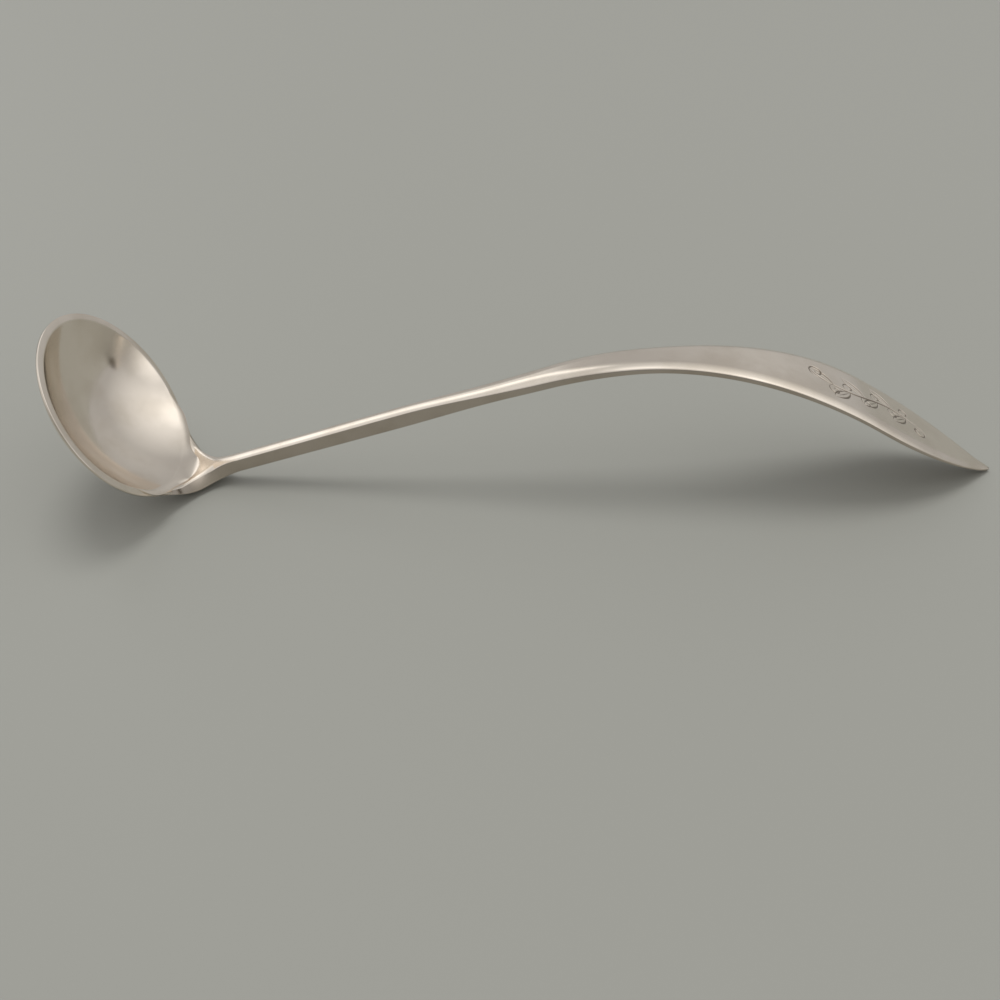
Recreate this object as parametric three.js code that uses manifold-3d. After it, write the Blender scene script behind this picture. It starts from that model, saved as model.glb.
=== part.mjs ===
// A small silver mustard ladle, lying bowl up on a table: a raised round bowl, a forged handle
// that arches over to a pointed blade, and the solder that joins the two at the rim.
// Millimetres and degrees. The table is z = 0, the ladle points along +X and is symmetric in Y.
// The origin is the middle of the worn flat under the heel, where the ladle rests.

import * as THREE from 'three';
import { mergeVertices } from 'three/addons/utils/BufferGeometryUtils.js';
import Module from 'manifold-3d';

// Bowl
const MOUTH_DIAMETER = 29; // outer edge of the lip
const BOWL_DEPTH = 5.5; // inside, below the lip's plane
const BOWL_WALL = 0.75; // sheet thickness at the bottom
const LIP_WIDTH = 1.05; // of the flat lip
const LIP_BAND = 0.35; // height of the lip's upright outer edge
const LIP_CHAMFER = 0.12; // softened edges of the lip
const MOUTH_TILT = 61; // lip's plane against the table

// Root of the handle, where it hugs the bowl
const SOLDER_GAP = 0.3; // clearance between the bowl and what is soldered to it
const ROOT_THICKNESS = 2.5; // behind the rim, in the plane of symmetry
const FEATHER_THICKNESS = 0.35; // root's edge at the tips of its ears and drop
const EAR_REACH = 8.6; // half width along the rim
const EAR_DEPTH = 0.9; // below the lip's plane
const EAR_ROUND = 0.4; // how far the rounded ends of the ears bulge
const DROP_WIDTH = 6.4; // tongue under the bowl
const DROP_DEPTH = 3.5; // below the lip's plane
const HEEL_BEND = 1.1; // reach of the bend from the drop to the stem, each side of the lip's plane
const HEEL_WEAR = 0.1; // depth of the flat that the table has worn under the heel
const FLARE_HEIGHT = 8; // of the curves that spread the stem into the ears
const STEM_PROUD = 0.06; // how far the stem's faces stand out of the root's

// Stem and blade
const STEM_RISE = 18.2; // angle above the table
const STEM_LENGTH = 58; // from the lip's plane to the start of the arch
const NECK_WIDTH = 1.9; // just above the root
const NECK_THICKNESS = 2.3;
const STEM_WIDTH = 2.15; // where the blade begins to spread
const STEM_THICKNESS = 2.5;
const SHOULDER_THICKNESS = 1.7; // where the stem has been beaten flat
const ARCH_RADIUS = 58;
const ARCH_THICKNESS = 1.25; // at the arch's top
const BLADE_FALL = 31; // angle of the blade below level
const BLADE_LENGTH = 98; // from the stem's end to the tip, along the handle
const SHOULDER_LENGTH = 82; // from the shoulder to the tip
const WAIST_WIDTH = 5.2; // where the spreading slows before it runs out to the full width
const WAIST_LENGTH = 64; // from the waist to the tip
const WAIST_SLOPE = 0.025; // of each edge at the waist
const BLADE_WIDTH = 12.7;
const BLADE_THICKNESS = 1.05;
const POINT_LENGTH = 22.8; // from the widest place to the tip
const TIP_WIDTH = 0.5;
const TIP_THICKNESS = 0.6;
const SPREAD_EASE = 0.36; // how gently the outline's curves leave their ends, as a share of their length
const EDGE_REACH = 1.7; // crowned top edges, across the handle
const EDGE_DROP = 0.38; // how far they fall to its sides
const UNDER_EDGE = 0.15; // radius of the edges underneath
const EDGE_SHARE = 0.45; // the most of a half width or a thickness that an edge takes up

// Solder
const FILLET_HALF_LENGTH = 5.8; // along the rim, each side of the middle
const FILLET_HEIGHT = 2.6; // up the root's inner face, in the middle
const FILLET_REACH = 0.6; // inside the lip, in the middle
const FILLET_BEND = 0.6; // share of its height at which it turns from the bowl to the root
const FILLET_END = 0.15; // height and width at its ends

// Fineness of the facets
const BOWL_SEGMENTS = 96;
const BOWL_RINGS = 14;
const HANDLE_STATIONS = 84;
const CORNER_STEPS = 3;
const FILLET_STATIONS = 40;
const FILLET_STEPS = 6;

const radians = THREE.MathUtils.degToRad;
const tilt = radians(MOUTH_TILT);
const rise = radians(STEM_RISE);
const fall = radians(BLADE_FALL);

// The bowl's walls are parts of two spheres with their centres on the bowl's axis, above the lip.
function capSphere(radius, depth) {
  return (radius ** 2 + depth ** 2) / (2 * depth);
}
const lipRadius = MOUTH_DIAMETER / 2;
const lipInnerRadius = lipRadius - LIP_WIDTH;
const innerSphere = capSphere(lipInnerRadius, BOWL_DEPTH);
const innerHeight = innerSphere - BOWL_DEPTH;
const outerDepth = BOWL_DEPTH + BOWL_WALL;
const outerSphere = capSphere(lipRadius, outerDepth - LIP_BAND);
const outerHeight = outerSphere - outerDepth;

// The root's inner face starts just outside the rim and leans away from the bowl's axis.
const seatSphere = outerSphere + SOLDER_GAP;
const seatRadius = lipRadius + SOLDER_GAP;
const lean = Math.tan(Math.PI / 2 - tilt - rise);

const wasm = await Module();
wasm.setup();

function toSolid(geometry) {
  const bare = new THREE.BufferGeometry();
  bare.setAttribute('position', geometry.getAttribute('position').clone());
  bare.setIndex(geometry.getIndex());
  const merged = mergeVertices(bare, 1e-5);
  const vertProperties = new Float32Array(merged.getAttribute('position').array);
  const triVerts = new Uint32Array(merged.getIndex().array);
  return new wasm.Manifold(new wasm.Mesh({ numProp: 3, vertProperties, triVerts }));
}

function toGeometry(solid) {
  const mesh = solid.getMesh();
  const geometry = new THREE.BufferGeometry();
  geometry.setAttribute('position', new THREE.BufferAttribute(mesh.vertProperties, mesh.numProp));
  geometry.setIndex(new THREE.BufferAttribute(mesh.triVerts, 1));
  geometry.computeVertexNormals();
  return geometry;
}

// In the bowl's frame the lip's centre is the origin, +Z leaves the mouth and +X points at the handle.
// A profile holds (radius, height) points, from the axis at the bottom round to the axis at the top.
function revolve(profile, segments) {
  return new THREE.LatheGeometry(profile, segments).rotateX(Math.PI / 2);
}

// Points on a sphere's lower half, from the axis out to a given distance from it.
function sphereArc(radius, height, reach) {
  const points = [];
  for (let i = 0; i <= BOWL_RINGS; i += 1) {
    const angle = (Math.asin(reach / radius) * i) / BOWL_RINGS;
    points.push(new THREE.Vector2(radius * Math.sin(angle), height - radius * Math.cos(angle)));
  }
  return points;
}

function bowlGeometry() {
  const profile = [
    ...sphereArc(outerSphere, outerHeight, lipRadius),
    new THREE.Vector2(lipRadius, -LIP_CHAMFER),
    new THREE.Vector2(lipRadius - LIP_CHAMFER, 0),
    new THREE.Vector2(lipInnerRadius + LIP_CHAMFER, 0),
    ...sphereArc(innerSphere, innerHeight, lipInnerRadius - LIP_CHAMFER).reverse(),
  ];
  return revolve(profile, BOWL_SEGMENTS);
}

// The back of the root is turned about an axis of its own, nearer the handle than the bowl's axis,
// so that it is thickest behind the middle of the rim and thins out to the ears and the drop.
const rootReach = lipRadius + SOLDER_GAP + ROOT_THICKNESS;
const earRadius = lipRadius + SOLDER_GAP + FEATHER_THICKNESS;
const earForward = Math.sqrt(earRadius ** 2 - EAR_REACH ** 2);
const rootAxis = (rootReach ** 2 - earRadius ** 2) / (2 * (rootReach - earForward));
const dropSphere = seatSphere + FEATHER_THICKNESS;
const dropForward = Math.sqrt(dropSphere ** 2 - (outerHeight + DROP_DEPTH) ** 2);
const backWidth = rootReach - rootAxis;
const dropWidth = dropForward - rootAxis;
const backHeight = (backWidth ** 2 - dropWidth ** 2 - DROP_DEPTH ** 2) / (2 * DROP_DEPTH);
const backSphere = Math.hypot(backWidth, backHeight);

function rootBackProfile() {
  const neckBack = seatRadius + lean * FLARE_HEIGHT + NECK_THICKNESS - 2 * STEM_PROUD - rootAxis;
  const corner = new THREE.Vector2(backWidth, 0);
  const flareTop = new THREE.Vector2(neckBack, FLARE_HEIGHT);
  const bendAngle = Math.acos((backHeight + HEEL_BEND) / backSphere);
  const bendStart = new THREE.Vector2(backSphere * Math.sin(bendAngle), -HEEL_BEND);
  const bendEnd = corner.clone().lerp(flareTop, HEEL_BEND / FLARE_HEIGHT);
  const bend = new THREE.QuadraticBezierCurve(bendStart, corner, bendEnd);
  const profile = [];
  for (let i = 0; i < BOWL_RINGS; i += 1) {
    const angle = (bendAngle * i) / BOWL_RINGS;
    const out = backSphere * Math.sin(angle);
    profile.push(new THREE.Vector2(out, backHeight - backSphere * Math.cos(angle)));
  }
  profile.push(...bend.getPoints(BOWL_RINGS));
  profile.push(flareTop);
  profile.push(new THREE.Vector2(0, FLARE_HEIGHT));
  return profile;
}

// Seen along the bowl's radius: the drop's tongue, the ears along the rim and the flare to the stem.
const earStart = EAR_REACH - EAR_ROUND;
const flareWidth = earStart - NECK_WIDTH / 2 + STEM_PROUD;

function rootOutline() {
  const up = Math.PI / 2;
  const earHalf = EAR_DEPTH / 2;
  const outline = new THREE.Shape();
  outline.moveTo(0, -DROP_DEPTH);
  outline.bezierCurveTo(DROP_WIDTH / 2, -DROP_DEPTH, DROP_WIDTH / 2, -EAR_DEPTH, earStart, -EAR_DEPTH);
  outline.absellipse(earStart, -earHalf, EAR_ROUND, earHalf, -up, up, false);
  outline.absellipse(earStart, FLARE_HEIGHT, flareWidth, FLARE_HEIGHT, -up, -2 * up, true);
  outline.lineTo(flareWidth - earStart, FLARE_HEIGHT);
  outline.absellipse(-earStart, FLARE_HEIGHT, flareWidth, FLARE_HEIGHT, 0, -up, true);
  outline.absellipse(-earStart, -earHalf, EAR_ROUND, earHalf, up, 3 * up, false);
  outline.bezierCurveTo(-DROP_WIDTH / 2, -EAR_DEPTH, -DROP_WIDTH / 2, -DROP_DEPTH, 0, -DROP_DEPTH);
  return outline;
}

// An outline of (across, up) points becomes a bar along the bowl's radius on the handle's side.
function radialBar(outline, reach) {
  const bar = new THREE.ExtrudeGeometry(outline, { depth: reach, bevelEnabled: false, curveSegments: 16 });
  const across = new THREE.Vector3(0, 1, 0);
  const up = new THREE.Vector3(0, 0, 1);
  const outward = new THREE.Vector3(1, 0, 0);
  return bar.applyMatrix4(new THREE.Matrix4().makeBasis(across, up, outward));
}

// What the root must stay clear of: the bowl, and inside its own leaning inner face.
function seatGeometry(height) {
  const profile = sphereArc(seatSphere, outerHeight, seatRadius);
  profile.push(new THREE.Vector2(seatRadius, 0));
  profile.push(new THREE.Vector2(seatRadius + lean * height, height));
  profile.push(new THREE.Vector2(0, height));
  return revolve(profile, BOWL_SEGMENTS);
}

function rootSolid() {
  const back = toSolid(revolve(rootBackProfile(), BOWL_SEGMENTS).translate(rootAxis, 0, 0));
  const bar = toSolid(radialBar(rootOutline(), 2 * rootReach));
  const seat = toSolid(seatGeometry(FLARE_HEIGHT + HEEL_BEND));
  return back.intersect(bar).subtract(seat);
}

// The lip's centre stands so high that the heel's lowest place, less its wear, meets the table.
function tableDrop(forward, up) {
  return forward * Math.sin(tilt) - up * Math.cos(tilt);
}
const heelPoint = rootBackProfile().reduce((lowest, point) => (
  tableDrop(point.x, point.y) > tableDrop(lowest.x, lowest.y) ? point : lowest
));
const heelForward = rootAxis + heelPoint.x;
const lipHeight = tableDrop(heelForward, heelPoint.y) - HEEL_WEAR;
const lipCentreX = -(heelForward * Math.cos(tilt) + heelPoint.y * Math.sin(tilt));
const bowlPlace = new THREE.Matrix4()
  .makeRotationY(tilt)
  .setPosition(lipCentreX, 0, lipHeight);

// The handle's middle line in the plane of symmetry: the stem, the arch and the blade down to the table.
const stemForward = seatRadius - STEM_PROUD + NECK_THICKNESS / 2;
const stemFoot = new THREE.Vector3(stemForward, 0, 0).applyMatrix4(bowlPlace);
const archStart = new THREE.Vector2(
  stemFoot.x + STEM_LENGTH * Math.cos(rise),
  stemFoot.z + STEM_LENGTH * Math.sin(rise),
);
const archCentre = new THREE.Vector2(
  archStart.x + ARCH_RADIUS * Math.sin(rise),
  archStart.y - ARCH_RADIUS * Math.cos(rise),
);
const archLength = ARCH_RADIUS * (rise + fall);
const bladeStart = new THREE.Vector2(
  archCentre.x + ARCH_RADIUS * Math.sin(fall),
  archCentre.y + ARCH_RADIUS * Math.cos(fall),
);
const tipHeight = (TIP_THICKNESS / 2) * Math.cos(fall);
const bladeRun = (bladeStart.y - tipHeight) / Math.sin(fall);
const handleLength = STEM_LENGTH + archLength + bladeRun;

function middleLine(along) {
  if (along < STEM_LENGTH) {
    return {
      x: stemFoot.x + along * Math.cos(rise),
      z: stemFoot.z + along * Math.sin(rise),
      slope: rise,
    };
  }
  if (along < STEM_LENGTH + archLength) {
    const slope = rise - (along - STEM_LENGTH) / ARCH_RADIUS;
    return {
      x: archCentre.x - ARCH_RADIUS * Math.sin(slope),
      z: archCentre.y + ARCH_RADIUS * Math.cos(slope),
      slope,
    };
  }
  const run = along - STEM_LENGTH - archLength;
  return {
    x: bladeStart.x + run * Math.cos(fall),
    z: bladeStart.y - run * Math.sin(fall),
    slope: -fall,
  };
}

// Half the handle's outline, as (distance along, half width): slim stem, spreading blade, pointed end.
const stemStart = HEEL_BEND / 2;
const stemEnd = handleLength - BLADE_LENGTH;
const shoulder = handleLength - SHOULDER_LENGTH;
const waist = handleLength - WAIST_LENGTH;
const widest = handleLength - POINT_LENGTH;

function halfOutline() {
  const stemHalf = STEM_WIDTH / 2;
  const waistHalf = WAIST_WIDTH / 2;
  const bladeHalf = BLADE_WIDTH / 2;
  const before = SPREAD_EASE * (waist - stemEnd);
  const after = SPREAD_EASE * (widest - waist);
  const pointFall = bladeHalf - TIP_WIDTH / 2;
  const pointRadius = (POINT_LENGTH ** 2 + pointFall ** 2) / (2 * pointFall);
  const pointAngle = Math.asin(POINT_LENGTH / pointRadius);
  const outline = new THREE.Path();
  outline.moveTo(stemStart, NECK_WIDTH / 2);
  outline.lineTo(stemEnd, stemHalf);
  outline.bezierCurveTo(
    stemEnd + before, stemHalf,
    waist - before, waistHalf - WAIST_SLOPE * before,
    waist, waistHalf,
  );
  outline.bezierCurveTo(
    waist + after, waistHalf + WAIST_SLOPE * after,
    widest - after, bladeHalf,
    widest, bladeHalf,
  );
  outline.absarc(widest, bladeHalf - pointRadius, pointRadius, Math.PI / 2, Math.PI / 2 - pointAngle, true);
  return outline;
}

// Thickness along the handle: the stem stands proud of the root and thins from there to the tip.
function thickness(along) {
  const places = [
    [0, NECK_THICKNESS - 3 * STEM_PROUD],
    [FLARE_HEIGHT, NECK_THICKNESS],
    [stemEnd, STEM_THICKNESS],
    [shoulder, SHOULDER_THICKNESS],
    [STEM_LENGTH + ARCH_RADIUS * rise, ARCH_THICKNESS],
    [widest, BLADE_THICKNESS],
    [handleLength, TIP_THICKNESS],
  ];
  let next = 1;
  while (next < places.length - 1 && along > places[next][0]) next += 1;
  const [from, thicknessFrom] = places[next - 1];
  const [to, thicknessTo] = places[next];
  const share = THREE.MathUtils.smoothstep(along, from, to);
  return THREE.MathUtils.lerp(thicknessFrom, thicknessTo, share);
}

// A section across the handle: a flat top that falls away to both sides in crowned edges, upright
// sides, and crisp edges underneath.
function section(halfWidth, depth) {
  const reach = Math.min(EDGE_REACH, EDGE_SHARE * halfWidth);
  const drop = Math.min(EDGE_DROP, EDGE_SHARE * depth);
  const under = Math.min(UNDER_EDGE, EDGE_SHARE * halfWidth, EDGE_SHARE * depth);
  const steps = Array.from({ length: CORNER_STEPS + 1 }, (_, i) => i / CORNER_STEPS);
  const crown = steps.map((share) => [halfWidth - reach * share, depth / 2 - drop * (1 - share) ** 2]);
  const lower = steps.map((share) => {
    const angle = (Math.PI / 2) * share;
    return [halfWidth - under + under * Math.sin(angle), under - depth / 2 - under * Math.cos(angle)];
  });
  const right = [...lower, ...crown];
  const left = right.map(([across, up]) => [-across, up]).reverse();
  return [...right, ...left];
}

function loft(rings) {
  const count = rings[0].length;
  const positions = rings.flat(2);
  const index = [];
  for (let ring = 0; ring < rings.length - 1; ring += 1) {
    for (let i = 0; i < count; i += 1) {
      const a = ring * count + i;
      const b = ring * count + ((i + 1) % count);
      index.push(a, b, b + count, a, b + count, a + count);
    }
  }
  const last = (rings.length - 1) * count;
  for (let i = 1; i < count - 1; i += 1) {
    index.push(0, i + 1, i, last, last + i, last + i + 1);
  }
  const geometry = new THREE.BufferGeometry();
  geometry.setAttribute('position', new THREE.Float32BufferAttribute(positions, 3));
  geometry.setIndex(index);
  return geometry;
}

function stemAndBladeGeometry() {
  const rings = halfOutline().getSpacedPoints(HANDLE_STATIONS).map(({ x: along, y: halfWidth }) => {
    const { x, z, slope } = middleLine(along);
    return section(halfWidth, thickness(along)).map(([across, up]) => (
      [x - up * Math.sin(slope), across, z + up * Math.cos(slope)]
    ));
  });
  return loft(rings);
}

function handleGeometry() {
  const stem = toSolid(stemAndBladeGeometry());
  const root = rootSolid().transform(bowlPlace.toArray());
  const clearance = toSolid(seatGeometry(stemStart)).transform(bowlPlace.toArray());
  const tableSize = 2 * handleLength;
  const block = new THREE.BoxGeometry(tableSize, tableSize, tableSize);
  const table = toSolid(block.translate(0, 0, -tableSize / 2));
  return toGeometry(stem.add(root).subtract(clearance).subtract(table));
}

// The solder is a crescent from ear to ear. It runs from the bowl's inside over the lip and up the
// root's inner face, as high as the flare allows, and keeps the solder gap to all of them.
function flareEdge(across) {
  const inset = Math.min((earStart - across) / flareWidth, 1);
  return FLARE_HEIGHT * (1 - Math.sqrt(1 - inset ** 2));
}

function filletSection(across) {
  const wall = (height) => seatRadius - SOLDER_GAP + lean * height;
  const room = flareEdge(across) - flareEdge(FILLET_HALF_LENGTH);
  const height = (FILLET_HEIGHT * room) / Math.hypot(FILLET_HEIGHT, room);
  const spread = THREE.MathUtils.smoothstep(height, 0, FILLET_HEIGHT);
  const foot = SOLDER_GAP;
  const topHeight = foot + FILLET_END + height;
  const toeRadius = THREE.MathUtils.lerp(wall(foot) - FILLET_END, lipInnerRadius - FILLET_REACH, spread);
  const insideHeight = innerHeight - Math.sqrt((innerSphere - SOLDER_GAP) ** 2 - toeRadius ** 2);
  const toeHeight = Math.min(foot, insideHeight);
  const bendHeight = THREE.MathUtils.lerp(toeHeight, topHeight, FILLET_BEND * spread);
  const top = new THREE.Vector2(wall(topHeight), topHeight);
  const bend = new THREE.Vector2(wall(bendHeight), bendHeight);
  const toe = new THREE.Vector2(toeRadius, toeHeight);
  const hollow = new THREE.QuadraticBezierCurve(top, bend, toe);
  const lipEdge = new THREE.Vector2(Math.max(lipInnerRadius, toeRadius + FILLET_END / 2), foot);
  return [...hollow.getPoints(FILLET_STEPS), lipEdge, new THREE.Vector2(wall(foot), foot)];
}

function filletGeometry() {
  const turnEnd = Math.asin(FILLET_HALF_LENGTH / seatRadius);
  const rings = [];
  for (let i = 0; i <= FILLET_STATIONS; i += 1) {
    const turn = turnEnd * (1 - (2 * i) / FILLET_STATIONS);
    const ring = filletSection(seatRadius * Math.abs(Math.sin(turn)));
    rings.push(ring.map(({ x, y }) => [x * Math.cos(turn), x * Math.sin(turn), y]));
  }
  return loft(rings);
}

function silver(color, roughness) {
  return new THREE.MeshStandardMaterial({ color, roughness, metalness: 1 });
}

function piece(name, geometry, material) {
  const mesh = new THREE.Mesh(geometry, material);
  mesh.name = name;
  return mesh;
}

const bowlFrame = new THREE.Group();
bowlFrame.applyMatrix4(bowlPlace);
bowlFrame.add(piece('bowl', bowlGeometry(), silver(0xc9bfb2, 0.16)));
bowlFrame.add(piece('solder_fillet', filletGeometry(), silver(0xb9b0a4, 0.35)));

const ladle = new THREE.Group();
ladle.add(bowlFrame);
ladle.add(piece('handle', handleGeometry(), silver(0xcdc3b6, 0.2)));

export default ladle;
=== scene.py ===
"""Looks of a small silver mustard ladle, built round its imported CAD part.

Sizes below are millimetres and degrees, as in the part's own source, and become metres where a mesh
is made. The table is z = 0, the ladle points along +X and the origin is under the heel.
"""

import math

import bpy
import numpy as np
from mathutils import Euler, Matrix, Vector


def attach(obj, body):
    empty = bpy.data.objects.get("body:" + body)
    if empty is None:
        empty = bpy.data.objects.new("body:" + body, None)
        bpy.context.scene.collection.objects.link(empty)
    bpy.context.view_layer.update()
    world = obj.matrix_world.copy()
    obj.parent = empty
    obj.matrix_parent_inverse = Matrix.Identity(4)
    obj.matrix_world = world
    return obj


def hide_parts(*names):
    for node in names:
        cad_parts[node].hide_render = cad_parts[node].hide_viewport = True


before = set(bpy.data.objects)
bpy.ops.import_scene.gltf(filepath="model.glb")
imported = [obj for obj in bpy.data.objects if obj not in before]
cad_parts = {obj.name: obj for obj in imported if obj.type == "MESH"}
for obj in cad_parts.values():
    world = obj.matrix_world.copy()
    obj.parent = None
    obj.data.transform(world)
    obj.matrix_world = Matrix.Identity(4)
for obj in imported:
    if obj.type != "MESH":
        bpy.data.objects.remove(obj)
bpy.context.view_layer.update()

MM = 0.001

# Bowl
MOUTH_DIAMETER = 29.0
BOWL_DEPTH = 5.5
BOWL_WALL = 0.75
LIP_WIDTH = 1.05
LIP_BAND = 0.35
LIP_EDGE = 0.12
MOUTH_TILT = 61.0

# Root of the handle
SOLDER_GAP = 0.3
ROOT_THICKNESS = 2.5
FEATHER_THICKNESS = 0.35
LEAST_THICKNESS = 0.15
EAR_REACH = 8.6
EAR_DEPTH = 0.9
EAR_ROUND = 0.4
EAR_STRETCH = 0.9  # how much further than in the CAD the ears' thin ends reach
EAR_TAPER_START = 3.0  # from this half width to their ends the ears thin out
EAR_TAPER = 0.6  # share of their thickness that they lose
ROOT_EDGE = 1.0  # reach of the root's crowned edges at the lip
DROP_WIDTH = 6.4
DROP_DEPTH = 3.5
DROP_END = 0.5  # width that the drop's tongue still has where it stops
HEEL_BEND = 1.1
HEEL_WEAR = 0.1
FLARE_HEIGHT = 8.0
STEM_PROUD = 0.06

# Stem and blade
STEM_RISE = 18.2
STEM_LENGTH = 58.0
NECK_WIDTH = 1.9
NECK_THICKNESS = 2.3
STEM_WIDTH = 2.15
STEM_THICKNESS = 2.5
SHOULDER_THICKNESS = 1.7
ARCH_RADIUS = 58.0
ARCH_THICKNESS = 1.25
BLADE_FALL = 31.0
BLADE_LENGTH = 98.0
SHOULDER_LENGTH = 82.0
WAIST_WIDTH = 5.2
WAIST_LENGTH = 64.0
WAIST_SLOPE = 0.025
BLADE_WIDTH = 12.7
BLADE_THICKNESS = 1.05
POINT_LENGTH = 22.8
TIP_WIDTH = 0.5
TIP_THICKNESS = 0.6
SPREAD_EASE = 0.36
EDGE_REACH = 1.7
EDGE_DROP = 0.5
EDGE_ROUND = 0.45  # rounding of the blade's edges, across the handle
EDGE_TURN = 0.12  # and down its sides
CROWN_SHARE = 0.9  # the most of a half width that a crowned edge takes up
UNDER_EDGE = 0.15
EDGE_SHARE = 0.45

# Solder, which carries the bowl's inside on over the lip, up the root and over the ears
SOLDER_REACH = 1.1  # inside the lip, in the middle
SOLDER_TOE = 0.12  # inside the lip, beside the ears
SOLDER_CROSSING = 5.0  # length past an ear's end over which it thins out along the lip
SOLDER_RISE = 0.35  # share of the bowl's slope with which it rises over the lip
SOLDER_HEIGHT = 2.6  # up the root, in the middle
SOLDER_SPREAD = 13.0  # degrees round the bowl over which that height falls away
SOLDER_STEP = 0.08  # how far outside the lip its crest on the ears lies
SOLDER_EAR = (3.0, 5.6)  # half widths between which the crest moves from the root to the ear
SOLDER_CROWN = 0.12  # how much higher the control point of its rounded back lies than the crest
SOLDER_BEND = 0.95  # most of its height at which it turns from the bowl to the root
SOLDER_BLEND = 4  # sharpness of the change from its height on the root to that on the lip
SOLDER_SINK = 0.06  # how deep its hidden faces go into the bowl and the root
SOLDER_SKIN = 0.006  # and its visible edges

# Engraved sprig on the blade, by distance from the tip
SPRIG_START = 13.0
SPRIG_END = 39.0
SPRIG_MARGIN = 1.0  # finely meshed border round it
STALK_INSET = 3.5  # from the sprig's ends to the stalk's
STALK_WAVE = 0.9
LEAF_COUNT = 6
LEAF_START = 0.10  # share of the stalk before the first leaf
LEAF_SPACING = 0.155
LEAF_TIP = (3.6, 2.7)  # from a leaf's base: along the blade and across it
LEAF_BELLY = (0.6, 2.5)
LEAF_FLANK = (3.2, 0.7)
VEIN_BOW = (-0.1, 0.1)
VEIN_LENGTH = 0.8  # share of the leaf's length
TENDRIL_RADIUS = 1.15
TENDRIL_TURNS = 1.2
TENDRIL_CLOSE = 1.5  # turns after which a tendril would close on its centre
CURL_RADIUS = 1.5
CURL_TURNS = 1.3
CURL_CLOSE = 1.55
STALK_SWELL = 1.0  # widths of the strokes, as shares of the cut width
LEAF_SWELL = (0.9, 0.7)
VEIN_SWELL = 0.5
TENDRIL_SWELL = 0.7
CURL_SWELL = 0.8
STROKE_END = 0.35  # share of a stroke's width left at its ends
CUT_WIDTH = 0.5
CUT_DEPTH = 0.16
CUT_TARNISH = 2.2  # how much faster the tarnish grows than the cut's depth
SIDE_TARNISH_AND_SHADE = 0.5  # share of the cuts' tarnish colour that the handle's sides and back carry: partly tarnish, partly painted shade that darkens them against the bright top

# Fineness of the meshes
BOWL_SEGMENTS = 288
ARC_STEPS = 56
OUTLINE_STEPS = 448
ROUND_STEPS = 6
TOP_COLUMNS = 200
UNDER_COLUMNS = 24
FLARE_RINGS = 72
DROP_RINGS = 28
STEM_STEP = 0.6
CUT_STEP = 0.06
STALK_STEPS = 240
LEAF_STEPS = 60
VEIN_STEPS = 40
TENDRIL_STEPS = 120
CURL_STEPS = 160
CUT_CHUNK = 4000  # places on the blade that are measured at once
TABLE_SIDES = 96

# Camera, from the fit to the photograph
LENS = 36.4
SENSOR = 36.0
CAMERA_PLACE = (45.40, -119.85, 104.76)
CAMERA_AIM = (47.39, -5.62, 0.0)
CLIP_START = 10.0

tilt = math.radians(MOUTH_TILT)
rise = math.radians(STEM_RISE)
fall = math.radians(BLADE_FALL)
lean_angle = math.pi / 2 - tilt - rise
lean = math.tan(lean_angle)


def smoothstep(value, low, high):
    share = np.clip((value - low) / (high - low), 0.0, 1.0)
    return share * share * (3.0 - 2.0 * share)


def bezier(points, steps):
    """Points on a Bezier curve of any order, as an array."""
    share = np.linspace(0.0, 1.0, steps + 1)[:, None]
    rows = [np.asarray(point, float)[None, :] for point in points]
    while len(rows) > 1:
        rows = [a * (1.0 - share) + b * share for a, b in zip(rows, rows[1:])]
    return rows[0]


# The bowl's two spheres, with centres on its axis above the lip
def cap_sphere(radius, depth):
    return (radius ** 2 + depth ** 2) / (2.0 * depth)


lip_radius = MOUTH_DIAMETER / 2
lip_inner = lip_radius - LIP_WIDTH
inner_sphere = cap_sphere(lip_inner, BOWL_DEPTH)
inner_height = inner_sphere - BOWL_DEPTH
outer_depth = BOWL_DEPTH + BOWL_WALL
outer_sphere = cap_sphere(lip_radius, outer_depth - LIP_BAND)
outer_height = outer_sphere - outer_depth

# The root's back is turned about an axis of its own, between the bowl's axis and the handle
root_reach = lip_radius + SOLDER_GAP + ROOT_THICKNESS
ear_radius = lip_radius + SOLDER_GAP + FEATHER_THICKNESS
ear_forward = math.sqrt(ear_radius ** 2 - EAR_REACH ** 2)
root_axis = (root_reach ** 2 - ear_radius ** 2) / (2.0 * (root_reach - ear_forward))
back_width = root_reach - root_axis
drop_sphere = outer_sphere + SOLDER_GAP + FEATHER_THICKNESS
drop_width = math.sqrt(drop_sphere ** 2 - (outer_height + DROP_DEPTH) ** 2) - root_axis
back_height = (back_width ** 2 - drop_width ** 2 - DROP_DEPTH ** 2) / (2.0 * DROP_DEPTH)
back_sphere = math.hypot(back_width, back_height)
stem_forward = lip_radius + SOLDER_GAP - STEM_PROUD + NECK_THICKNESS / 2
neck_half = NECK_THICKNESS / 2 / math.cos(lean_angle)


def back_profile():
    """(radius, height) of the root's back, from the drop's end up to the neck."""
    neck = (stem_forward + lean * FLARE_HEIGHT + neck_half - root_axis, FLARE_HEIGHT)
    start = (math.sqrt(back_sphere ** 2 - (back_height + HEEL_BEND) ** 2), -HEEL_BEND)
    share = HEEL_BEND / FLARE_HEIGHT
    end = (back_width + share * (neck[0] - back_width), HEEL_BEND)
    heights = np.linspace(-DROP_DEPTH, -HEEL_BEND, ARC_STEPS)
    below = np.column_stack([np.sqrt(back_sphere ** 2 - (back_height - heights) ** 2), heights])
    bend = bezier([start, (back_width, 0.0), end], ARC_STEPS)
    return np.vstack([below[:-1], bend, [neck]])


back = back_profile()


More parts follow.
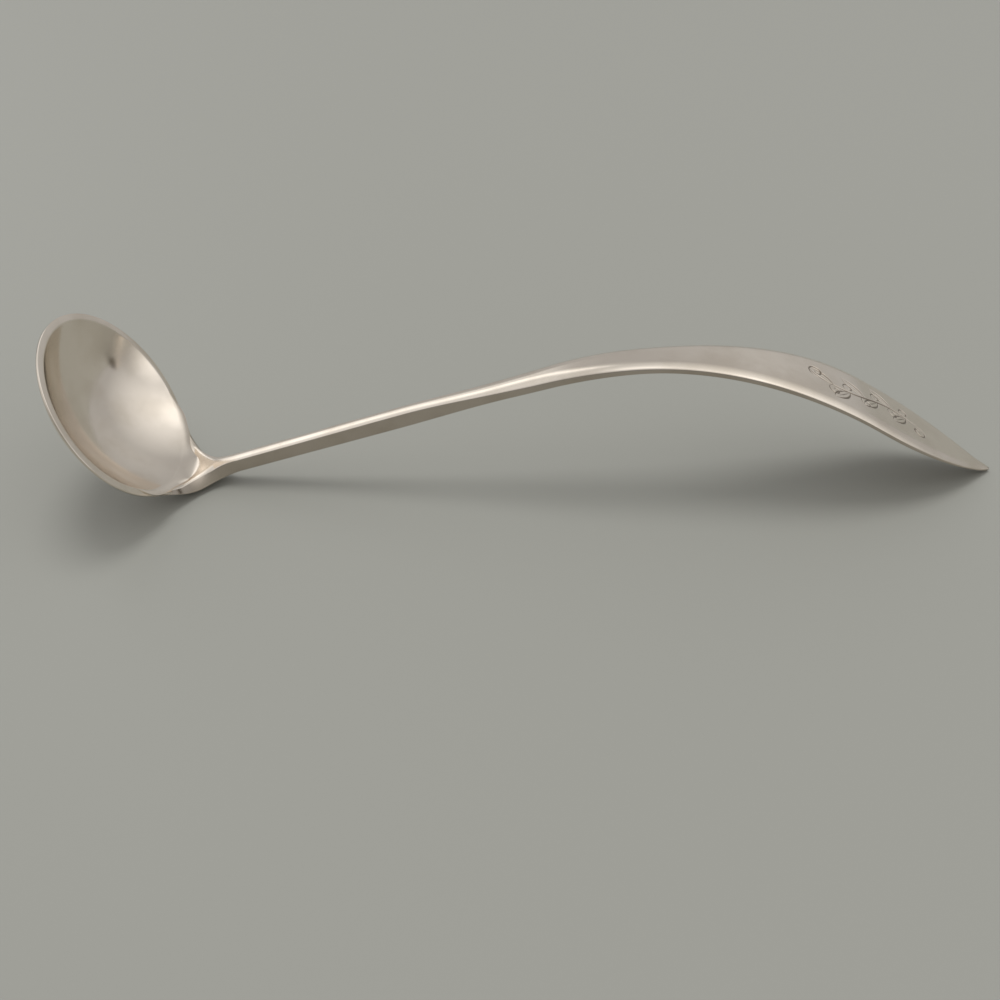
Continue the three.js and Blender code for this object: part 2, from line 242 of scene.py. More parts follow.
# The bowl's frame stands so that the heel's lowest place, less its wear, meets the table
drops = (root_axis + back[:, 0]) * math.sin(tilt) - back[:, 1] * math.cos(tilt)
heel = int(np.argmax(drops))
lip_height = drops[heel] - HEEL_WEAR
lip_forward = -((root_axis + back[heel, 0]) * math.cos(tilt) + back[heel, 1] * math.sin(tilt))


def from_bowl(points):
    """Points of the bowl's frame, where +Z leaves the mouth and +X points at the handle, in the part's."""
    x, y, z = np.moveaxis(np.asarray(points, float), -1, 0)
    forward = x * math.cos(tilt) + z * math.sin(tilt) + lip_forward
    up = z * math.cos(tilt) - x * math.sin(tilt) + lip_height
    return np.stack([forward, y, up], axis=-1)


def make_piece(name, points, faces, flat_faces=()):
    """A smooth mesh from points in millimetres; the flat faces come last and stay sharp."""
    mesh = bpy.data.meshes.new(name)
    mesh.from_pydata((points * MM).tolist(), [], list(faces) + list(flat_faces))
    smooth = np.ones(len(mesh.polygons), bool)
    smooth[len(faces):] = False
    mesh.polygons.foreach_set("use_smooth", smooth)
    mesh.update()
    piece = bpy.data.objects.new(name, mesh)
    bpy.context.scene.collection.objects.link(piece)
    return piece


def ring_faces(rings, count):
    """Quads between neighbouring rings of a grid, each ring closed on itself."""
    i = np.arange(count)[None, :]
    here = np.arange(rings - 1)[:, None] * count
    there = here + count
    after = (i + 1) % count
    quads = np.stack([here + i, here + after, there + after, there + i], axis=-1)
    return quads.reshape(-1, 4).tolist()


# Bowl
def sphere_arc(radius, height, reach):
    angles = np.linspace(0.0, math.asin(reach / radius), ARC_STEPS + 1)
    return np.column_stack([radius * np.sin(angles), height - radius * np.cos(angles)])


def bowl_profile():
    """(radius, height) from beside the axis underneath, round the lip, to beside the axis inside."""
    turn = np.linspace(0.0, math.pi / 2, ROUND_STEPS + 1)
    outer_edge = np.column_stack([
        lip_radius - LIP_EDGE + LIP_EDGE * np.cos(turn),
        -LIP_EDGE + LIP_EDGE * np.sin(turn),
    ])
    inside = sphere_arc(inner_sphere, inner_height, lip_inner - LIP_EDGE)[::-1]
    inner_edge = bezier([(lip_inner + LIP_EDGE, 0.0), (lip_inner, 0.0), inside[0]], ROUND_STEPS)
    outside = sphere_arc(outer_sphere, outer_height, lip_radius)
    return np.vstack([outside[1:], outer_edge, inner_edge, inside[1:-1]])


def make_bowl():
    profile = bowl_profile()
    angles = np.linspace(0.0, 2.0 * math.pi, BOWL_SEGMENTS, endpoint=False)
    radius, height = profile[:, 0], profile[:, 1]
    grid = np.stack([
        np.outer(np.cos(angles), radius),
        np.outer(np.sin(angles), radius),
        np.tile(height, (BOWL_SEGMENTS, 1)),
    ], axis=-1)
    count = len(profile)
    faces = []
    for turn in range(BOWL_SEGMENTS):
        here = turn * count
        there = (turn + 1) % BOWL_SEGMENTS * count
        faces += [[here + i, there + i, there + i + 1, here + i + 1] for i in range(count - 1)]
    under = BOWL_SEGMENTS * count
    poles = np.array([[0.0, 0.0, -outer_depth], [0.0, 0.0, -BOWL_DEPTH]])
    for turn in range(BOWL_SEGMENTS):
        here = turn * count
        there = (turn + 1) % BOWL_SEGMENTS * count
        faces.append([under, there, here])
        faces.append([under + 1, here + count - 1, there + count - 1])
    points = np.vstack([grid.reshape(-1, 3), poles])
    return make_piece("silver_bowl", from_bowl(points), faces)


# Handle
foot = from_bowl([[stem_forward, 0.0, 0.0]])[0]
arch_start = (foot[0] + STEM_LENGTH * math.cos(rise), foot[2] + STEM_LENGTH * math.sin(rise))
arch_centre = (arch_start[0] + ARCH_RADIUS * math.sin(rise), arch_start[1] - ARCH_RADIUS * math.cos(rise))
arch_length = ARCH_RADIUS * (rise + fall)
blade_start = (arch_centre[0] + ARCH_RADIUS * math.sin(fall), arch_centre[1] + ARCH_RADIUS * math.cos(fall))
blade_run = (blade_start[1] - TIP_THICKNESS / 2 * math.cos(fall)) / math.sin(fall)
handle_length = STEM_LENGTH + arch_length + blade_run
stem_end = handle_length - BLADE_LENGTH
waist = handle_length - WAIST_LENGTH
widest = handle_length - POINT_LENGTH


def middle_line(along):
    """Places and slopes on the handle's middle line: stem, arch and blade."""
    slope = np.clip(rise - (along - STEM_LENGTH) / ARCH_RADIUS, -fall, rise)
    before = np.minimum(along - STEM_LENGTH, 0.0)
    after = np.maximum(along - STEM_LENGTH - arch_length, 0.0)
    x = arch_centre[0] - ARCH_RADIUS * np.sin(slope) + before * math.cos(rise) + after * math.cos(fall)
    z = arch_centre[1] + ARCH_RADIUS * np.cos(slope) + before * math.sin(rise) - after * math.sin(fall)
    return x, z, slope


def half_outline():
    """(distance along, half width): slim stem, spreading blade and pointed end."""
    stem_half, waist_half, blade_half = STEM_WIDTH / 2, WAIST_WIDTH / 2, BLADE_WIDTH / 2
    before = SPREAD_EASE * (waist - stem_end)
    after = SPREAD_EASE * (widest - waist)
    spread = bezier([
        (stem_end, stem_half),
        (stem_end + before, stem_half),
        (waist - before, waist_half - WAIST_SLOPE * before),
        (waist, waist_half),
    ], OUTLINE_STEPS)
    run_out = bezier([
        (waist, waist_half),
        (waist + after, waist_half + WAIST_SLOPE * after),
        (widest - after, blade_half),
        (widest, blade_half),
    ], OUTLINE_STEPS)
    point_fall = blade_half - TIP_WIDTH / 2
    point_radius = cap_sphere(POINT_LENGTH, point_fall)
    turn = np.linspace(0.0, math.asin(POINT_LENGTH / point_radius), OUTLINE_STEPS)
    point = np.column_stack([
        widest + point_radius * np.sin(turn),
        blade_half - point_radius + point_radius * np.cos(turn),
    ])
    return np.vstack([[(0.0, NECK_WIDTH / 2)], spread, run_out[1:], point[1:]])


def thickness(along):
    places = [
        (FLARE_HEIGHT, NECK_THICKNESS),
        (stem_end, STEM_THICKNESS),
        (handle_length - SHOULDER_LENGTH, SHOULDER_THICKNESS),
        (STEM_LENGTH + ARCH_RADIUS * rise, ARCH_THICKNESS),
        (widest, BLADE_THICKNESS),
        (handle_length, TIP_THICKNESS),
    ]
    depth = np.full_like(along, NECK_THICKNESS)
    for (start, before), (end, after) in zip(places, places[1:]):
        depth += (after - before) * smoothstep(along, start, end)
    return depth


def section(half, depth, most_reach=EDGE_REACH):
    """Rings across the handle for arrays of half widths and edge depths.

    Gives each point's place across, how far it lies inside its face, whether that face is the top, and
    how much of a side it is.
    """
    half = half[:, None]
    depth = depth[:, None]
    reach = np.minimum(most_reach, CROWN_SHARE * half)
    spread = (reach / EDGE_REACH) ** 2
    drop = np.minimum(EDGE_DROP * spread, EDGE_SHARE * depth)
    under = np.minimum(UNDER_EDGE, EDGE_SHARE * np.minimum(half, depth))
    low_turn = np.linspace(0.0, math.pi / 2, ROUND_STEPS + 1)[None, :]
    flat = np.linspace(1.0, -1.0, TOP_COLUMNS + 1)[None, 1:-1]
    corner = np.minimum(EDGE_ROUND * spread, EDGE_SHARE * reach)
    corner_turn = np.minimum(EDGE_TURN, EDGE_SHARE * (depth - drop))
    crown_end = 1.0 - corner / reach
    crown = crown_end * np.linspace(1.0, 0.0, 2 * ROUND_STEPS + 1)[None, :]
    slope = 2.0 * drop * crown_end / reach
    crown_drop = drop * crown_end ** 2
    turn = np.linspace(0.0, 1.0, ROUND_STEPS + 1)[None, :-1]
    side_drop = crown_drop + slope * corner + corner_turn
    right_edge = (
        np.hstack([half - corner * turn ** 2, half - reach * (1.0 - crown)]),
        np.hstack([
            side_drop * (1.0 - turn) ** 2 + 2.0 * (side_drop - corner_turn) * turn * (1.0 - turn)
            + crown_drop * turn ** 2,
            drop * crown ** 2,
        ]),
    )
    top_flat = flat * (half - reach)
    top = (top_flat, np.zeros_like(top_flat))
    left_edge = (-right_edge[0][:, ::-1], right_edge[1][:, ::-1])
    edge_side = np.concatenate([(1.0 - turn[0]) ** 2, np.zeros(crown.shape[1])])
    left_low = (-(half - under + under * np.cos(low_turn)), under - under * np.sin(low_turn))
    low_flat = np.linspace(-1.0, 1.0, UNDER_COLUMNS + 1)[None, 1:-1] * (half - under)
    bottom = (low_flat, np.zeros_like(low_flat))
    right_low = (-left_low[0][:, ::-1], left_low[1][:, ::-1])
    parts = [right_edge, top, left_edge, left_low, bottom, right_low]
    across = np.hstack([part[0] for part in parts])
    inset = np.hstack([part[1] for part in parts])
    top_count = sum(part[0].shape[1] for part in parts[:3])
    is_top = np.arange(across.shape[1]) < top_count
    side = np.where(is_top, 0.0, 1.0)
    side[:len(edge_side)] = edge_side
    side[top_count - len(edge_side):top_count] = edge_side[::-1]
    return across, inset, is_top, side


def root_outline():
    """(half width, height) of the root, from the drop's end up to the neck."""
    end = DROP_END / 2
    ear = EAR_REACH + EAR_STRETCH - EAR_ROUND
    drop = bezier([
        (end, -DROP_DEPTH), (DROP_WIDTH / 2, -DROP_DEPTH), (DROP_WIDTH / 2, -EAR_DEPTH), (ear, -EAR_DEPTH),
    ], DROP_RINGS)
    round_turn = np.linspace(-math.pi / 2, math.pi / 2, 2 * ROUND_STEPS + 1)[1:-1]
    ear_end = np.column_stack([
        ear + EAR_ROUND * np.cos(round_turn),
        EAR_DEPTH / 2 * (np.sin(round_turn) - 1.0),
    ])
    turn = np.linspace(math.pi / 2, 0.0, FLARE_RINGS)
    flare = np.column_stack([
        ear - (ear - NECK_WIDTH / 2) * np.cos(turn),
        FLARE_HEIGHT * (1.0 - np.sin(turn)),
    ])
    return np.vstack([drop, ear_end, flare])


def seat_radius(height):
    """Radius of the face by which the root meets the bowl, and above the lip of its own inner face."""
    wall = np.sqrt(outer_sphere ** 2 - (outer_height - np.minimum(height, -LIP_BAND)) ** 2)
    inner = stem_forward + lean * height - neck_half
    return wall + (inner - wall) * smoothstep(height, 0.0, HEEL_BEND)


def root_faces(across, height):
    """Radii of the root's inner face and of its back."""
    seat = seat_radius(height)
    back_radius = np.interp(height, back[:, 1], back[:, 0])
    round_off = 1.0 - smoothstep(height, FLARE_HEIGHT / 2, FLARE_HEIGHT)
    inner_sag = seat - np.sqrt(seat ** 2 - across ** 2)
    back_sag = back_radius - np.sqrt(np.maximum(back_radius ** 2 - across ** 2, 0.0))
    inner = seat - inner_sag * round_off
    depth = root_axis + back_radius - back_sag * round_off - inner
    taper = 1.0 - EAR_TAPER * smoothstep(np.abs(across), EAR_TAPER_START, EAR_REACH)
    return inner, inner + np.maximum(depth * taper, LEAST_THICKNESS)


def root_rings():
    outline = root_outline()
    half, height = outline[:, 0], outline[:, 1, None]
    edge_inner, edge_back = root_faces(half[:, None], height)
    most_reach = ROOT_EDGE + (EDGE_REACH - ROOT_EDGE) * smoothstep(height, 0.0, FLARE_HEIGHT)
    across, inset, is_top, side = section(half, (edge_back - edge_inner)[:, 0], most_reach)
    inner, behind = root_faces(across, height)
    free = smoothstep(height, 0.0, HEEL_BEND)
    forward = np.where(is_top[None, :], inner + inset * free, behind - inset)
    points = np.stack([forward, across, np.broadcast_to(height, across.shape)], axis=-1)
    # The sides and back carry painted shade as well as some tarnish.
    return from_bowl(points), np.broadcast_to(SIDE_TARNISH_AND_SHADE * side[None, :], across.shape)


def stem_stations():
    """Distances along the handle: even steps, and fine ones through the engraving."""
    start = FLARE_HEIGHT / math.cos(lean_angle)
    cut_start = handle_length - SPRIG_END - SPRIG_MARGIN
    cut_end = handle_length - SPRIG_START + SPRIG_MARGIN
    before = np.arange(start + STEM_STEP, cut_start, STEM_STEP)
    cut = np.arange(cut_start, cut_end, CUT_STEP)
    after = np.linspace(cut_end, handle_length, int((SPRIG_START - SPRIG_MARGIN) / STEM_STEP) * 2)
    return np.concatenate([before, cut, after])


def handle_rings():
    along = stem_stations()
    outline = half_outline()
    half = np.interp(along, outline[:, 0], outline[:, 1])
    depth = thickness(along)
    across, inset, is_top, side = section(half, depth)
    up = np.where(is_top[None, :], depth[:, None] / 2 - inset, inset - depth[:, None] / 2)
    cut = np.zeros_like(up)
    near_tip = handle_length - along
    by_sprig = (near_tip > SPRIG_START - SPRIG_MARGIN) & (near_tip < SPRIG_END + SPRIG_MARGIN)
    rows = np.flatnonzero(by_sprig)
    block = np.ix_(rows, np.flatnonzero(is_top))
    block_across = across[block]
    block_along = np.broadcast_to(near_tip[rows, None], block_across.shape)
    places = np.stack([block_along, block_across], axis=-1)
    cut[block] = cut_depth(places.reshape(-1, 2)).reshape(block_across.shape)
    up = up - cut
    slide = 1.0 - smoothstep(along, FLARE_HEIGHT, 2.0 * FLARE_HEIGHT)
    station = along[:, None] - slide[:, None] * up * lean
    x, z, slope = middle_line(station)
    rings = np.stack([x - up * np.sin(slope), across, z + up * np.cos(slope)], axis=-1)
    cut_tarnish = np.minimum(CUT_TARNISH * cut / CUT_DEPTH, 1.0)
    # Tarnish in the cuts; the sides and back carry painted shade as well as some tarnish.
    return rings, np.maximum(cut_tarnish, SIDE_TARNISH_AND_SHADE * side[None, :])


def make_handle():
    root, root_tarnish_and_shade = root_rings()
    stem, stem_tarnish_and_shade = handle_rings()
    rings = np.concatenate([root, stem])
    rings[..., 2] = np.maximum(rings[..., 2], 0.0)
    count = rings.shape[1]
    last = (len(rings) - 1) * count
    caps = [list(range(count))[::-1], list(range(last, last + count))]
    piece = make_piece("silver_handle", rings.reshape(-1, 3), ring_faces(len(rings), count), caps)
    # Darkening per point: tarnish in the cuts, and painted shade with some tarnish on the sides and back.
    tarnish_and_side_shade = piece.data.attributes.new("tarnish_and_side_shade", "FLOAT", "POINT")
    shares = np.concatenate([root_tarnish_and_shade, stem_tarnish_and_shade])
    tarnish_and_side_shade.data.foreach_set("value", shares.ravel().astype(np.float32))
    return piece


# Engraved sprig: a waving stalk with leaves to both sides, a tendril by each leaf and a curl at each end
def stalk(share):
    """Places on the stalk as (distance from tip, across)."""
    length = SPRIG_END - SPRIG_START - 2.0 * STALK_INSET
    along = SPRIG_START + STALK_INSET + length * share
    return np.column_stack([along, STALK_WAVE * np.sin(2.0 * math.pi * share)])


def spiral(start, radius, turns, close, steps, ways):
    """A curl from a start, which would close on its centre after the given turns."""
    angle = np.linspace(0.0, 2.0 * math.pi * turns, steps)
    shrunk = radius * (1.0 - angle / (2.0 * math.pi * close))
    along = start[0] + ways[0] * shrunk * np.sin(angle)
    return np.column_stack([along, start[1] + ways[1] * (radius - shrunk * np.cos(angle))])


def sprig_strokes():
    """Strokes as (points, cut width at each point), points being (distance from tip, across)."""
    strokes = []

    def stroke(points, swell):
        share = np.linspace(0.0, 1.0, len(points))
        taper = STROKE_END + (1.0 - STROKE_END) * np.sin(math.pi * share)
        strokes.append((points, CUT_WIDTH * swell * taper))

    stroke(stalk(np.linspace(0.0, 1.0, STALK_STEPS)), STALK_SWELL)
    for number in range(LEAF_COUNT):
        base = stalk(np.array([LEAF_START + LEAF_SPACING * number]))[0]
        side = 1.0 if number % 2 else -1.0
        mirror = np.array([1.0, side])
        tip = base + mirror * LEAF_TIP
        for bulge, swell in zip((LEAF_BELLY, LEAF_FLANK), LEAF_SWELL):
            stroke(bezier([base, base + mirror * bulge, tip], LEAF_STEPS), swell)
        vein_middle = (base + tip) / 2 + mirror * VEIN_BOW
        stroke(bezier([base, vein_middle, base + VEIN_LENGTH * (tip - base)], VEIN_STEPS), VEIN_SWELL)
        tendril = spiral(base, TENDRIL_RADIUS, TENDRIL_TURNS, TENDRIL_CLOSE, TENDRIL_STEPS, (1.0, -side))
        stroke(tendril, TENDRIL_SWELL)
    for end, turn in ((0.0, -1.0), (1.0, 1.0)):
        start = stalk(np.array([end]))[0]
        stroke(spiral(start, CURL_RADIUS, CURL_TURNS, CURL_CLOSE, CURL_STEPS, (turn, turn)), CURL_SWELL)
    return strokes


def cut_depth(places):
    """Depth of the engraving at places given as (distance from tip, across)."""
    depth = np.zeros(len(places))
    for points, width in sprig_strokes():
        low = points.min(axis=0) - CUT_WIDTH
        high = points.max(axis=0) + CUT_WIDTH
        near = np.flatnonzero(np.all((places > low) & (places < high), axis=1))
        for start in range(0, len(near), CUT_CHUNK):
            chunk = near[start:start + CUT_CHUNK]
            gaps = np.linalg.norm(places[chunk, None, :] - points[None, :, :], axis=2)
            share = np.clip(1.0 - gaps / (width[None, :] / 2), 0.0, 1.0)
            groove = (CUT_DEPTH / CUT_WIDTH * width[None, :] * share).max(axis=1)
            depth[chunk] = np.maximum(depth[chunk], groove)
    return depth


# Solder between the lip and the root
def solder_profile(turns, from_end):
    """(radius, height) rings: over the ear from behind, down into the bowl, and back underneath."""
    across = lip_radius * np.sin(np.abs(turns))
    crossed = smoothstep(from_end, 0.0, SOLDER_CROSSING)
    outside = lip_radius + SOLDER_STEP
    shift = (outside - lip_inner) * (1.0 - crossed)
    ear = np.linspace(0.0, EAR_REACH + EAR_STRETCH, 4 * FLARE_RINGS)
    ear_back = root_faces(ear, np.full_like(ear, -SOLDER_SINK))[1]
    behind = np.interp(np.abs(turns), np.arctan2(ear, ear_back), np.hypot(ear, ear_back))
    behind = behind - SOLDER_SKIN - shift
    on_ear = smoothstep(across, *SOLDER_EAR)
    on_root = SOLDER_HEIGHT * np.exp(-(turns / math.radians(SOLDER_SPREAD)) ** 2)
    root_face = seat_radius(np.maximum(on_root, HEEL_BEND))
    lip_slope = math.tan(math.asin(lip_inner / inner_sphere))
    on_lip = SOLDER_RISE * lip_slope * (root_face + (outside - root_face) * on_ear - shift - lip_inner)
    top = (on_root ** SOLDER_BLEND + on_lip ** SOLDER_BLEND) ** (1.0 / SOLDER_BLEND)
    root_face = seat_radius(top)
    face = root_face + (outside - root_face) * on_ear + SOLDER_SKIN - shift
    middle = 1.0 - smoothstep(across, 0.0, SOLDER_EAR[1])
    toe = lip_inner - SOLDER_TOE * crossed - (SOLDER_REACH - SOLDER_TOE) * middle
    toe_height = inner_height - np.sqrt(inner_sphere ** 2 - toe ** 2)
    slope = np.arcsin(toe / inner_sphere)
    root_foot = stem_forward - neck_half
    run = (root_foot + lean * toe_height - toe) / (np.cos(slope) - lean * np.sin(slope))
    run = np.minimum(run, SOLDER_BEND * (top - toe_height) / np.sin(slope))
    corner = (np.minimum(toe + run * np.cos(slope), face), toe_height + run * np.sin(slope))

    def arc(first, second, third):
        share = np.linspace(0.0, 1.0, 3 * ROUND_STEPS + 1)[None, :, None]
        ends = [np.stack(point, axis=-1)[:, None, :] for point in (first, second, third)]
        return ends[0] * (1.0 - share) ** 2 + 2.0 * ends[1] * share * (1.0 - share) + ends[2] * share ** 2

    low = np.full_like(top, -SOLDER_SINK)
    crown = top + SOLDER_CROWN * (1.0 - np.exp(-top))
    over = arc((behind, low), (behind, crown), (face, top))
    down = arc((face, top), corner, (toe, toe_height - SOLDER_SKIN))
    shown = np.concatenate([over, down[:, 1:]], axis=1)
    hidden = np.stack([
        np.stack([np.full_like(toe, lip_inner), toe_height - SOLDER_SINK], axis=-1),
        np.stack([np.minimum(behind, lip_radius), 2.0 * low], axis=-1),
    ], axis=1)
    return shown, hidden


def make_solder():
    """A crescent that carries the bowl's inside on over the lip into the root and thins out past the ears."""
    ear_turn = math.asin((EAR_REACH + EAR_STRETCH - EAR_ROUND) / lip_radius)
    end_turn = ear_turn + SOLDER_CROSSING / lip_radius
    turns = np.linspace(-1.0, 1.0, 2 * FLARE_RINGS + 1) * (end_turn - SOLDER_SKIN)
    shown, hidden = solder_profile(turns, (end_turn - np.abs(turns)) * lip_radius)
    profile = np.concatenate([shown, hidden], axis=1)
    radius, height = profile[..., 0], profile[..., 1]
    turn = turns[:, None]
    points = np.stack([radius * np.cos(turn), radius * np.sin(turn), height], axis=-1)
    count = profile.shape[1]
    seen = shown.shape[1] - 1
    last = (len(turns) - 1) * count
    quads = np.array(ring_faces(len(turns), count))[:, ::-1].reshape(len(turns) - 1, count, 4)
    faces = quads[:, :seen].reshape(-1, 4).tolist()
    flat = quads[:, seen:].reshape(-1, 4).tolist()
    flat += [list(range(count)), list(range(last, last + count))[::-1]]
    return make_piece("solder_joint", from_bowl(points.reshape(-1, 3)), faces, flat)


# Materials
MIX_A, MIX_B, MIX_RESULT = 6, 7, 2  # a colour mix node's own sockets


class Nodes:
    """A short way to add and link the nodes of one material or of the world."""

    def __init__(self, tree):
        self.tree = tree
        tree.nodes.clear()

    def put(self, value, socket):
        if isinstance(value, bpy.types.NodeSocket):
            self.tree.links.new(value, socket)
        else:
            socket.default_value = value

    def add(self, kind, inputs=None, **settings):
        node = self.tree.nodes.new(kind)
        for name, value in settings.items():
            setattr(node, name, value)
        for name, value in (inputs or {}).items():
            self.put(value, node.inputs[name])
        return node

    def noise(self, place, scale, detail):
        inputs = {"Vector": place, "Scale": scale, "Detail": detail}
        return self.add("ShaderNodeTexNoise", inputs).outputs["Fac"]

    def remap(self, value, before, after, kind="SMOOTHSTEP"):
        names = ("From Min", "From Max", "To Min", "To Max")
        inputs = dict(zip(names, (*before, *after)), Value=value)
        return self.add("ShaderNodeMapRange", inputs, interpolation_type=kind).outputs["Result"]

    def mix(self, share, first, second):
        node = self.add("ShaderNodeMix", {"Factor": share}, data_type="RGBA")
        for value, index in ((first, MIX_A), (second, MIX_B)):
            self.put(value, node.inputs[index])
        return node.outputs[MIX_RESULT]

    def bump(self, height, distance, normal=None):
        inputs = {"Height": height, "Distance": distance * MM}
        if normal is not None:
            inputs["Normal"] = normal
        return self.add("ShaderNodeBump", inputs).outputs["Normal"]


BRIGHT_SILVER = (0.86, 0.78, 0.69, 1.0)
DULL_SILVER = (0.76, 0.68, 0.585, 1.0)
# Tarnish colour, also laid on the handle's sides and back as painted shade.
TARNISH_AND_SHADE_COLOUR = (0.20, 0.155, 0.115, 1.0)
TARNISH_AND_SHADE_SHARE = 0.85  # most of the metal's colour hidden by tarnish and by the painted shade on the handle's sides
CLOUD_SCALE = 150.0  # patina clouds, per metre
SHEET_SCALE = 80.0  # hand-beaten unevenness of the sheet
PIT_SCALE = 5200.0  # small pits of wear
ALONG_HANDLE = (60.0, 3000.0, 3000.0)  # polishing lines per metre
ALL_WAYS = (2600.0, 2600.0, 2600.0)
CLOUD_DETAIL = 5.0
SHEET_DETAIL = 1.0
LINE_DETAIL = 3.0
PIT_DETAIL = 2.0
LINE_DEPTH = 0.0012
PIT_DEPTH = 0.0006
BOWL_UNEVENNESS = 0.012
HANDLE_UNEVENNESS = 0.006
DULL_CLOUDS = (0.38, 0.72)  # cloud values between which the silver goes from bright to dull
ROUGH_CLOUDS = (0.3, 0.75)  # and from smooth to rough
# Attribute values over which the tarnish and the painted side shade come in.
TARNISH_AND_SHADE_RANGE = (0.1, 0.9)
BOWL_ROUGHNESS = (0.10, 0.22)
HANDLE_ROUGHNESS = (0.12, 0.24)
SOLDER_ROUGHNESS = (0.14, 0.26)


def silver(name, rough, grain, unevenness):
    """Worn polished silver: cloudy patina, polishing lines along the grain, tarnish in the cuts, and painted
    shade with some tarnish on the handle's sides and back.
    """
    material = bpy.data.materials.new(name)
    material.use_nodes = True
    nodes = Nodes(material.node_tree)
    place = nodes.add("ShaderNodeTexCoord").outputs["Object"]
    grained = nodes.add("ShaderNodeMapping", {"Vector": place, "Scale": grain}).outputs["Vector"]
    clouds = nodes.noise(place, CLOUD_SCALE, CLOUD_DETAIL)
    sheet = nodes.noise(place, SHEET_SCALE, SHEET_DETAIL)
    lines = nodes.noise(grained, 1.0, LINE_DETAIL)
    pits = nodes.noise(place, PIT_SCALE, PIT_DETAIL)
    # Tarnish in the cuts, and painted shade with some tarnish on the handle's sides and back.
    cuts_and_side_shade = nodes.add("ShaderNodeAttribute", attribute_name="tarnish_and_side_shade").outputs["Fac"]
    patina = nodes.remap(clouds, DULL_CLOUDS, (0.0, 1.0))
    metal = nodes.mix(patina, BRIGHT_SILVER, DULL_SILVER)
    dark_cuts_and_side_shade = nodes.remap(cuts_and_side_shade, TARNISH_AND_SHADE_RANGE, (0.0, TARNISH_AND_SHADE_SHARE))
    colour = nodes.mix(dark_cuts_and_side_shade, metal, TARNISH_AND_SHADE_COLOUR)
    roughness = nodes.remap(clouds, ROUGH_CLOUDS, rough)
    normal = nodes.bump(sheet, unevenness)
    normal = nodes.bump(lines, LINE_DEPTH, normal)
    normal = nodes.bump(pits, PIT_DEPTH, normal)
    shader = nodes.add("ShaderNodeBsdfPrincipled", {
        "Base Color": colour, "Metallic": 1.0, "Roughness": roughness, "Normal": normal,
    })
    nodes.add("ShaderNodeOutputMaterial", {"Surface": shader.outputs["BSDF"]})
    return material


# Stage: table, light and camera
TABLE_COLOUR = (0.325, 0.325, 0.296, 1.0)
TABLE_ROUGHNESS = 0.5
TABLE_RADIUS = 1200.0
ROOM_COLOUR = (1.0, 0.995, 0.98, 1.0)
ROOM_LEVEL = 0.43
# Soft glows in the room: azimuth and elevation seen from the ladle and reach, in degrees, and strength
GLOWS = (
    (-12.0, 55.0, 52.0, 0.75),  # broad light above the tip's end
    (-18.0, 66.0, 18.0, 0.45),  # its brighter upper part
    (170.0, 43.0, 58.0, 0.50),  # broad light on the bowl's side
    (134.0, 31.0, 12.0, 0.70),  # the first of five that make one upright strip behind the ladle,
    (124.0, 25.0, 11.0, 0.85),  # which the top of the stem mirrors
    (117.0, 35.0, 11.0, 0.85),
    (121.0, 46.0, 11.0, 0.85),
    (117.0, 58.0, 11.0, 0.85),
    (-44.0, 14.0, 27.0, 1.00),  # low light in front, beyond the tip's end
    (60.0, 22.0, 28.0, 0.10),  # faint light behind the blade
    (90.0, 90.0, 13.0, 0.45),  # small light straight above
    (-90.0, 5.0, 85.0, -0.28),  # the darker side behind the camera
)

# Lamp, in metres and watts
LAMP_PLACE = (0.05, 0.20, 0.95)
LAMP_SIZE = 0.40
LAMP_POWER = 3.3


def make_table():
    angles = np.linspace(0.0, 2.0 * math.pi, TABLE_SIDES, endpoint=False)
    rim = TABLE_RADIUS * np.column_stack([np.cos(angles), np.sin(angles), np.zeros(TABLE_SIDES)])
    table = make_piece("table", rim, [], [list(range(len(rim)))])
    material = bpy.data.materials.new("table_grey")
    material.use_nodes = True
    nodes = Nodes(material.node_tree)
    look = {"Base Color": TABLE_COLOUR, "Roughness": TABLE_ROUGHNESS}
    shader = nodes.add("ShaderNodeBsdfPrincipled", look)
    nodes.add("ShaderNodeOutputMaterial", {"Surface": shader.outputs["BSDF"]})
    table.data.materials.append(material)
    return table


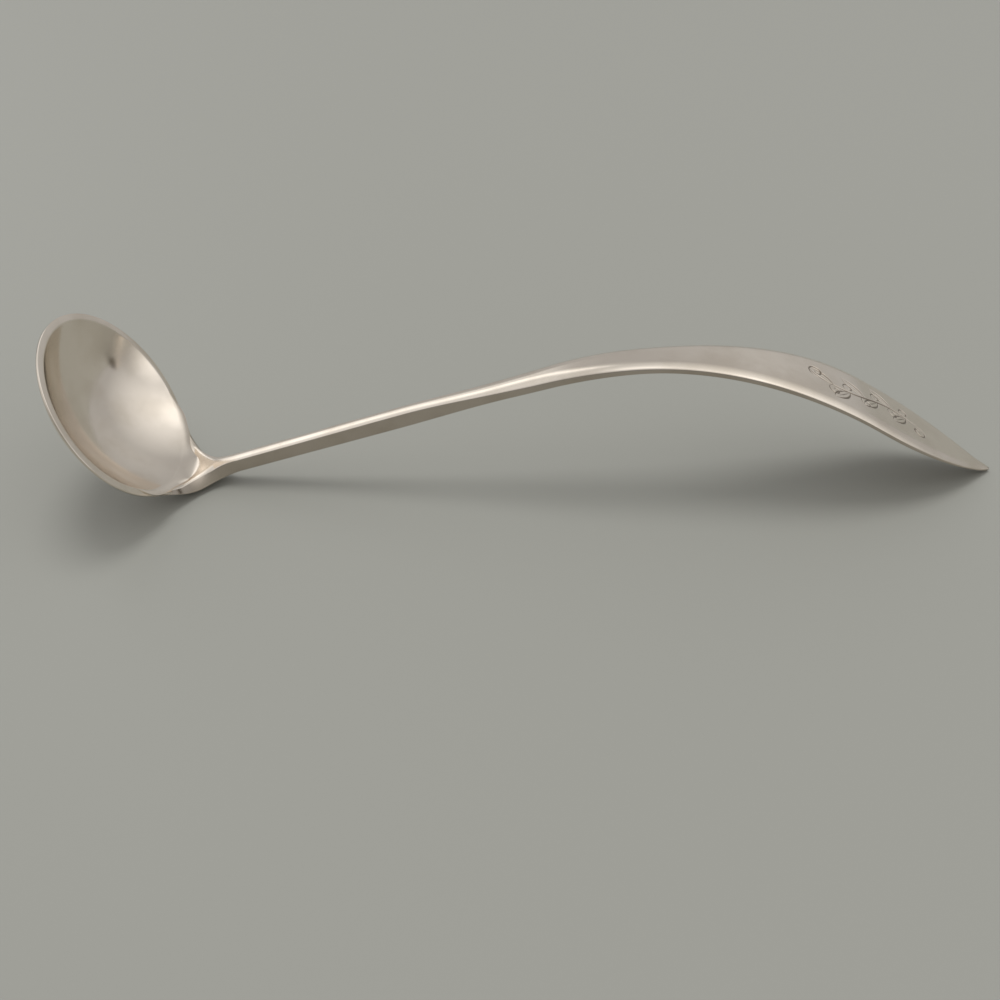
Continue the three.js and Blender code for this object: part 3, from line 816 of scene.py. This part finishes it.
def light_world():
    """A plain room with a few broad soft glows, as windows and pale walls give."""
    world = bpy.data.worlds.new("room")
    world.use_nodes = True
    nodes = Nodes(world.node_tree)
    direction = nodes.add("ShaderNodeTexCoord").outputs["Generated"]
    level = ROOM_LEVEL
    for azimuth, elevation, reach, strength in GLOWS:
        turn = Euler((0.0, -math.radians(elevation), math.radians(azimuth)))
        towards = turn.to_matrix() @ Vector((1.0, 0.0, 0.0))
        dot = nodes.add("ShaderNodeVectorMath", {0: direction, 1: towards}, operation="DOT_PRODUCT")
        angle = nodes.add("ShaderNodeMath", {0: dot.outputs["Value"]}, operation="ARCCOSINE")
        span = (0.0, math.radians(reach))
        glow = nodes.remap(angle.outputs["Value"], span, (strength, 0.0), "LINEAR")
        level = nodes.add("ShaderNodeMath", {0: level, 1: glow}, operation="ADD").outputs["Value"]
    background = nodes.add("ShaderNodeBackground", {"Color": ROOM_COLOUR, "Strength": level})
    nodes.add("ShaderNodeOutputWorld", {"Surface": background.outputs["Background"]})
    bpy.context.scene.world = world


def add_lamp():
    """A soft lamp above and a little behind the ladle, which gives the shadow on the table."""
    lamp = bpy.data.lights.new("overhead", "AREA")
    lamp.shape = "DISK"
    lamp.size = LAMP_SIZE
    lamp.energy = LAMP_POWER
    holder = bpy.data.objects.new("overhead", lamp)
    holder.location = LAMP_PLACE
    holder.rotation_euler = (-Vector(LAMP_PLACE)).to_track_quat("-Z", "Y").to_euler()
    holder.visible_glossy = False
    bpy.context.scene.collection.objects.link(holder)


def add_camera():
    camera = bpy.data.cameras.new("camera")
    camera.lens = LENS
    camera.sensor_width = SENSOR
    camera.clip_start = CLIP_START * MM
    holder = bpy.data.objects.new("camera", camera)
    place = Vector(CAMERA_PLACE) * MM
    aim = Vector(CAMERA_AIM) * MM
    holder.location = place
    holder.rotation_euler = (aim - place).to_track_quat("-Z", "Y").to_euler()
    bpy.context.scene.collection.objects.link(holder)
    bpy.context.scene.camera = holder


pieces = [
    (make_bowl(), "bowl", "bowl_silver", BOWL_ROUGHNESS, ALL_WAYS, BOWL_UNEVENNESS),
    (make_handle(), "handle", "handle_silver", HANDLE_ROUGHNESS, ALONG_HANDLE, HANDLE_UNEVENNESS),
    (make_solder(), "solder_fillet", "solder", SOLDER_ROUGHNESS, ALL_WAYS, BOWL_UNEVENNESS),
]
for piece, node, slot, *finish in pieces:
    piece.data.materials.append(silver(slot, *finish))
    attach(piece, "root")
    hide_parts(node)

make_table()
light_world()
add_lamp()
add_camera()
bpy.context.scene.view_settings.view_transform = "Standard"
